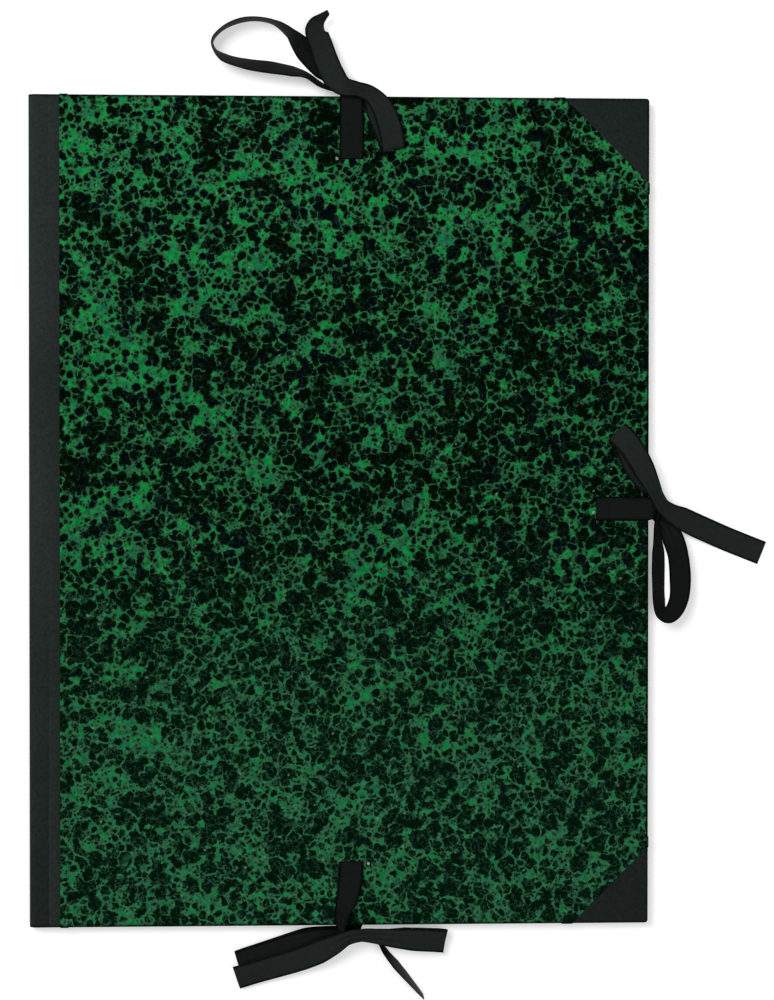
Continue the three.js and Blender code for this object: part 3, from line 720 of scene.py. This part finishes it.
# The marbled paper's colours, as linear values. Of two greens, the second is the tail's.
PALE_GREENS = ((0.026, 0.099, 0.047, 1), (0.031, 0.100, 0.052, 1))
FULL_GREENS = ((0.004, 0.235, 0.044, 1), (0.005, 0.172, 0.044, 1))
BLUE_GREEN = (0.006, 0.142, 0.056, 1)
RIM_GREEN = (0.0010, 0.0420, 0.0100, 1)
GREEN_BLACK = (0.0, 0.0026, 0.0003, 1)
BLUE_BLACK = (0.0003, 0.0020, 0.0024, 1)
WARM_BLACK = (0.0030, 0.0016, 0.0012, 1)
TAIL_BLACK = (0.0004, 0.0074, 0.0028, 1)
CRACKLE_GREEN = (0.0220, 0.0780, 0.0410, 1)
SPECK_GREY = (0.22, 0.27, 0.23, 1)
TORN_GREY = (0.38, 0.43, 0.38, 1)
# Painted shade along the covers' rounded outer edges
EDGE_SHADE_BLACK = (0.0006, 0.0030, 0.0012, 1)

# How many spots lie along a millimetre
SPOTS = 0.31

# The torn flecks beside the slits, in millimetres
TORN_PLACES = ((-1.5, 144.8, 6.3), (104.4, -0.3, 6.3), (11.4, -144.9, 6.3))


def black_depth(net, place, fine, ends):
    """How deep a place lies in the black paint. In the green it is below nought."""
    axes = net.axes(place)
    slope = net.math("MULTIPLY", axes["X"], -0.0008)
    slope = net.math("MULTIPLY_ADD", axes["Y"], 0.0006, slope)
    drift = net.math("ADD", net.noise(place, 0.028), slope)
    open_ground = net.math("MULTIPLY_ADD", drift, 0.7, net.noise(place, 0.09))
    open_ground = net.step(open_ground, 0.80, 1.08)
    wander = net.shifted(place, net.noise(place, 0.2, colour=True), 2.6)
    wander = net.shifted(wander, net.noise(place, 0.8, 1.0, colour=True), 0.6)

    # A vein parts two spots of different groups. A spot can also be loose in its own group.
    nearest = net.cells(wander, SPOTS)
    second = net.cells(wander, SPOTS, "F2")
    own, other = (
        net.channels(net.cells(spot["Position"], 0.1)["Color"]) for spot in (nearest, second)
    )
    apart = net.math("ABSOLUTE", net.math("SUBTRACT", own[0], other[0]))
    apart = net.math("GREATER_THAN", apart, 0.0005)
    loose = net.math("GREATER_THAN", own[1], 0.55)
    vein_here = net.math("MAXIMUM", apart, loose)
    vein = net.math("MULTIPLY_ADD", ends, 0.06, net.math("MULTIPLY_ADD", fine, 0.09, -0.42))
    vein = net.math("MULTIPLY_ADD", net.noise(place, 0.24), 1.1, vein)
    gap = net.math("SUBTRACT", second["Distance"], nearest["Distance"])
    from_vein = net.math("SUBTRACT", gap, net.math("MULTIPLY", vein, vein_here))
    from_vein = net.math("MULTIPLY_ADD", net.math("SUBTRACT", 1.0, vein_here), 0.4, from_vein)

    # Each spot has its own size, and the spots are smaller where more of the green is open.
    radius = net.math("MULTIPLY_ADD", net.channels(nearest["Color"])[0], 0.34, 0.52)
    radius = net.math("MULTIPLY_ADD", open_ground, -0.3, radius)
    from_rim = net.math("SUBTRACT", radius, nearest["Distance"])
    depth = net.math("SMOOTH_MIN", from_vein, from_rim, 0.22)

    # Larger splashes lie over the spots, and small dots lie in the green.
    for scale, grain, base in ((0.15, 0.6, -0.1), (0.7, 0.5, -0.08)):
        drop = net.cells(wander, scale)
        size = net.math("MULTIPLY_ADD", net.channels(drop["Color"])[0], grain, base)
        size = net.math("MULTIPLY_ADD", open_ground, -0.12, size)
        inside = net.math("SUBTRACT", size, drop["Distance"])
        depth = net.math("MAXIMUM", depth, net.math("MULTIPLY", inside, SPOTS / scale))
    return depth


def green_ground(net, place, fine, ends, depth):
    """The green, full away from the black, paler nearer to it and dark beside it."""
    pale = net.mix(fine, *PALE_GREENS)
    full = net.mix(fine, *FULL_GREENS)
    full = net.mix(net.step(net.noise(place, 0.12), 0.47, 0.72), full, BLUE_GREEN)
    ground = net.mix(net.step(depth, -0.1, -0.26), pale, full)
    shade = net.math("MULTIPLY_ADD", ends, 0.1, 0.14)
    shade = net.math("MULTIPLY_ADD", net.noise(place, 0.45), 1.55, shade)
    ground = net.shaded(ground, shade)
    return net.mix(net.step(depth, 0.03, -0.13), RIM_GREEN, ground)


def black_paint(net, place, fine):
    """Black with a tinge that changes from place to place, and crackled most at the tail."""
    colour = net.mix(net.step(net.noise(place, 0.1), 0.42, 0.62), GREEN_BLACK, BLUE_BLACK)
    colour = net.mix(net.step(net.noise(place, 0.33, 1.0), 0.58, 0.7), colour, WARM_BLACK)
    colour = net.mix(net.math("MULTIPLY", fine, 0.8), colour, TAIL_BLACK)
    uneven = net.shifted(place, net.noise(place, 0.5, colour=True), 2.2)
    nearest = net.cells(uneven, 0.5)["Distance"]
    second = net.cells(uneven, 0.5, "F2")["Distance"]
    crackle = net.step(net.math("SUBTRACT", second, nearest), 0.2, 0.0)
    strength = net.step(net.noise(place, 0.3), 0.38, 0.68, 0.02, 0.75)
    strength = net.math("MULTIPLY", strength, net.math("MULTIPLY_ADD", fine, 0.7, 0.3))
    return net.mix(net.math("MULTIPLY", crackle, strength), colour, CRACKLE_GREEN)


def wear_and_edge_shade(net, place, colour):
    """The colour with dull specks, torn flecks and painted edge shade over it."""
    specks = net.step(net.cells(place, 0.12)["Distance"], 0.04, 0.08, 1.0, 0.0)
    colour = net.mix(net.math("MULTIPLY", specks, 0.4), colour, SPECK_GREY)
    ragged = net.shifted(place, net.noise(place, 1.5, colour=True), 1.2)
    for torn in TORN_PLACES:
        away = net.add("ShaderNodeVectorMath", operation="DISTANCE")
        net.link(ragged, away.inputs[0])
        away.inputs[1].default_value = torn
        bare = net.step(away.outputs["Value"], 0.35, 0.75, 0.8, 0.0)
        colour = net.mix(bare, colour, TORN_GREY)
    # Painted shade along the covers' outer edges
    return net.mix(net.edge_shade(place), colour, EDGE_SHADE_BLACK)


def marbled_paper():
    """Black paint dropped in round spots on green. Spots of one group have run together."""
    net = Net("marbled_paper")
    place = net.place()
    y = net.axes(place)["Y"]
    fine = net.step(y, 20.0, -110.0)
    ends = net.step(net.math("ABSOLUTE", y), 50.0, 140.0)
    depth = black_depth(net, place, fine, ends)
    black = net.step(depth, -0.13, 0.06)
    ground = green_ground(net, place, fine, ends, depth)
    colour = net.mix(black, ground, black_paint(net, place, fine))
    net.paint(wear_and_edge_shade(net, place, colour))
    net.bump(net.noise(place, 3.0, 3.0, 0.6), 0.00002, 0.5)
    net.finish(net.step(black, 0.0, 1.0, 0.65, 0.55), 0.003)
    return net.material


CLOTH_DARK = (0.0030, 0.0050, 0.0042, 1)
# The pale cloth: faded cloth, and painted light on the spine's round
CLOTH_FADED_AND_LIT = (0.0270, 0.0360, 0.0325, 1)
# Painted shade along the cloth's rounded outer edges
CLOTH_EDGE_SHADE = (0.0035, 0.0050, 0.0045, 1)


def book_cloth():
    """Near-black plain weave, faded at random, lighter at the head, painted light on the round.
    """
    net = Net("book_cloth")
    place = net.place()
    axes = net.axes(place)
    uneven = net.shifted(place, net.noise(place, 0.6, 1.0, colour=True), 0.25)
    warp, weft = (net.wave(uneven, direction, 0.75, 0.6) for direction in ("X", "Y"))
    weave = net.math("MAXIMUM", warp, weft)
    slub = net.noise(place, 0.9, 3.0, 0.6)
    fade_and_light = net.math("MULTIPLY_ADD", net.noise(place, 0.02), 0.3, 0.35)
    # Painted light: lighter on the spine's round
    fade_and_light = net.math("MULTIPLY", fade_and_light, net.step(axes["X"], -110.0, -126.0, 0.75, 1.2))
    fade_and_light = net.math("MULTIPLY", fade_and_light, net.step(axes["X"], 40.0, -60.0, 0.75, 1.0))
    fade_and_light = net.math("MULTIPLY", fade_and_light, net.step(axes["Y"], 60.0, 160.0, 1.0, 1.3))
    colour = net.mix(fade_and_light, CLOTH_DARK, CLOTH_FADED_AND_LIT)
    # Painted shade along the outer edges
    colour = net.mix(net.edge_shade(place), colour, CLOTH_EDGE_SHADE)
    shade = net.math("MULTIPLY_ADD", weave, 0.35, net.math("MULTIPLY_ADD", slub, 1.3, 0.15))
    net.paint(net.shaded(colour, shade))
    net.bump(net.math("ADD", weave, slub), 0.00006, 0.6)
    net.finish(0.75, 0.03)
    return net.material


LINING_DARK = (0.52, 0.49, 0.42, 1)
LINING_LIGHT = (0.66, 0.63, 0.56, 1)
LINING_STAIN = (0.47, 0.43, 0.35, 1)


def lining_paper():
    """Plain cream paper with fibres and faint clouds."""
    net = Net("lining_paper")
    place = net.place()
    fibre = net.noise(place, 1.2, 4.0, 0.65)
    cloud = net.noise(place, 0.05, 3.0)
    colour = net.mix(fibre, LINING_DARK, LINING_LIGHT)
    net.paint(net.mix(net.math("MULTIPLY", cloud, 0.35), colour, LINING_STAIN))
    net.bump(fibre, 0.00004, 0.5)
    net.finish(0.9, 0.2)
    return net.material


def greyboard():
    """Grey pulp board."""
    net = Net("greyboard")
    place = net.place()
    pulp = net.noise(place, 1.8, 4.0, 0.7)
    net.paint(net.mix(pulp, (0.24, 0.22, 0.19, 1), (0.42, 0.40, 0.36, 1)))
    net.bump(pulp, 0.00008, 0.6)
    net.finish(0.95, 0.15)
    return net.material


def ribbon_cloth(name, base):
    """Fine ribs across the ribbon, a firmer edge each side, painted shade on the inner end."""
    net = Net(name)
    place = net.place(source="UV")
    axes = net.axes(place)
    ribs = net.wave(place, "Y", 0.55, 0.4)
    selvedge = net.step(net.math("ABSOLUTE", axes["X"]), 3.7, 4.6)
    yarn = net.noise(place, 0.55, 4.0, 0.7)
    shade = net.math("MULTIPLY_ADD", ribs, 0.45, 0.45)
    shade = net.math("MULTIPLY_ADD", yarn, 0.9, shade)
    shade = net.math("MULTIPLY_ADD", selvedge, -0.85, shade)
    shade = net.math("MAXIMUM", shade, 0.1)
    # Painted shade: the inner end, flat on the cover, is darker
    shade = net.math("MULTIPLY", shade, net.step(axes["Y"], 44.0, 54.0, 0.45, 1.0))
    net.paint(net.shaded(base, shade))
    net.bump(net.math("MULTIPLY_ADD", selvedge, 0.5, ribs), 0.00008, 0.7)
    net.finish(0.45, 0.01, 0.02, 0.4)
    return net.material


def repaint(piece, material):
    piece.data.materials.clear()
    piece.data.materials.append(material)


materials = {
    "marbled_paper": marbled_paper(),
    "book_cloth": book_cloth(),
    "lining_paper": lining_paper(),
    "greyboard": greyboard(),
    "ribbon": ribbon_cloth("ribbon", (0.0122, 0.0163, 0.0152, 1)),
}
# A darker copy for the back ribbons: painted shade on their loops, which stand on edge
back_ribbon = ribbon_cloth("back_ribbon", (0.0060, 0.0080, 0.0075, 1))
for part in frame["record"]["subparts"]:
    node = frame["nodes"][part["node"]]
    if not node.hide_render:
        repaint(node, materials[part["material_slot"]])
for piece in ribbons:
    repaint(piece, back_ribbon if piece.name.startswith("back") else materials["ribbon"])
for piece in cloth_pieces:
    repaint(piece, materials["book_cloth"])


# A pale table and soft light at a plain level. The table's sizes are in millimetres.
TABLE_REACH = 3000
TABLE_HEIGHT = -0.05
WORLD_LEVEL = 0.25


def background_share(tree):
    """One for the rays that show the background itself, nought for those that it lights."""
    rays = tree.nodes.new("ShaderNodeLightPath")
    total = rays.outputs["Is Camera Ray"]
    for name in ("Is Glossy Ray", "Is Transmission Ray"):
        added = tree.nodes.new("ShaderNodeMath")
        added.operation = "ADD"
        added.use_clamp = True
        tree.links.new(total, added.inputs[0])
        tree.links.new(rays.outputs[name], added.inputs[1])
        total = added.outputs[0]
    return total


def table_material():
    """White away from the folder, and near it plain enough to show the folder's shadow."""
    net = Net("table")
    net.tree.nodes.remove(net.shader)
    coordinates = net.add("ShaderNodeTexCoord")
    away = net.add("ShaderNodeVectorMath", operation="LENGTH")
    net.link(coordinates.outputs["Object"], away.inputs[0])
    strength = net.step(away.outputs["Value"], 0.5, 1.5, 0.35, 1.0)
    strength = net.math("MULTIPLY", strength, background_share(net.tree))
    diffuse = net.add("ShaderNodeBsdfDiffuse")
    diffuse.inputs["Color"].default_value = (0.8, 0.8, 0.8, 1)
    glow = net.add("ShaderNodeEmission")
    net.link(strength, glow.inputs["Strength"])
    both = net.add("ShaderNodeAddShader")
    net.link(diffuse.outputs[0], both.inputs[0])
    net.link(glow.outputs[0], both.inputs[1])
    net.link(both.outputs[0], net.output.inputs["Surface"])
    return net.material


def add_table():
    corners = ((-1, -1), (1, -1), (1, 1), (-1, 1))
    vertices = [(x * TABLE_REACH, y * TABLE_REACH, TABLE_HEIGHT) for x, y in corners]
    table = add_object("table", vertices, [(0, 1, 2, 3)], smooth=False)
    repaint(table, table_material())


def add_lamp(name, place, size, power):
    """A square lamp that faces the folder, in metres and watts."""
    data = bpy.data.lights.new(name, "AREA")
    data.shape = "SQUARE"
    data.size = size
    data.energy = power
    lamp = bpy.data.objects.new(name, data)
    lamp.location = place
    lamp.rotation_euler = (-Vector(place)).to_track_quat("-Z", "Y").to_euler()
    bpy.context.scene.collection.objects.link(lamp)


def add_world():
    """A white world that gives a low, even light."""
    world = bpy.data.worlds.new("studio")
    world.use_nodes = True
    tree = world.node_tree
    background = tree.nodes["Background"]
    background.inputs["Color"].default_value = (1, 1, 1, 1)
    level = tree.nodes.new("ShaderNodeMapRange")
    level.inputs["To Min"].default_value = WORLD_LEVEL
    level.inputs["To Max"].default_value = 1.0
    tree.links.new(background_share(tree), level.inputs["Value"])
    tree.links.new(level.outputs["Result"], background.inputs["Strength"])
    bpy.context.scene.world = world


add_table()
add_lamp("key_lamp", place=(-0.8, 0.7, 1.7), size=0.9, power=25)
add_lamp("fill_lamp", place=(0.5, -0.3, 1.9), size=1.2, power=11)
add_world()
bpy.context.scene.view_settings.view_transform = "Standard"
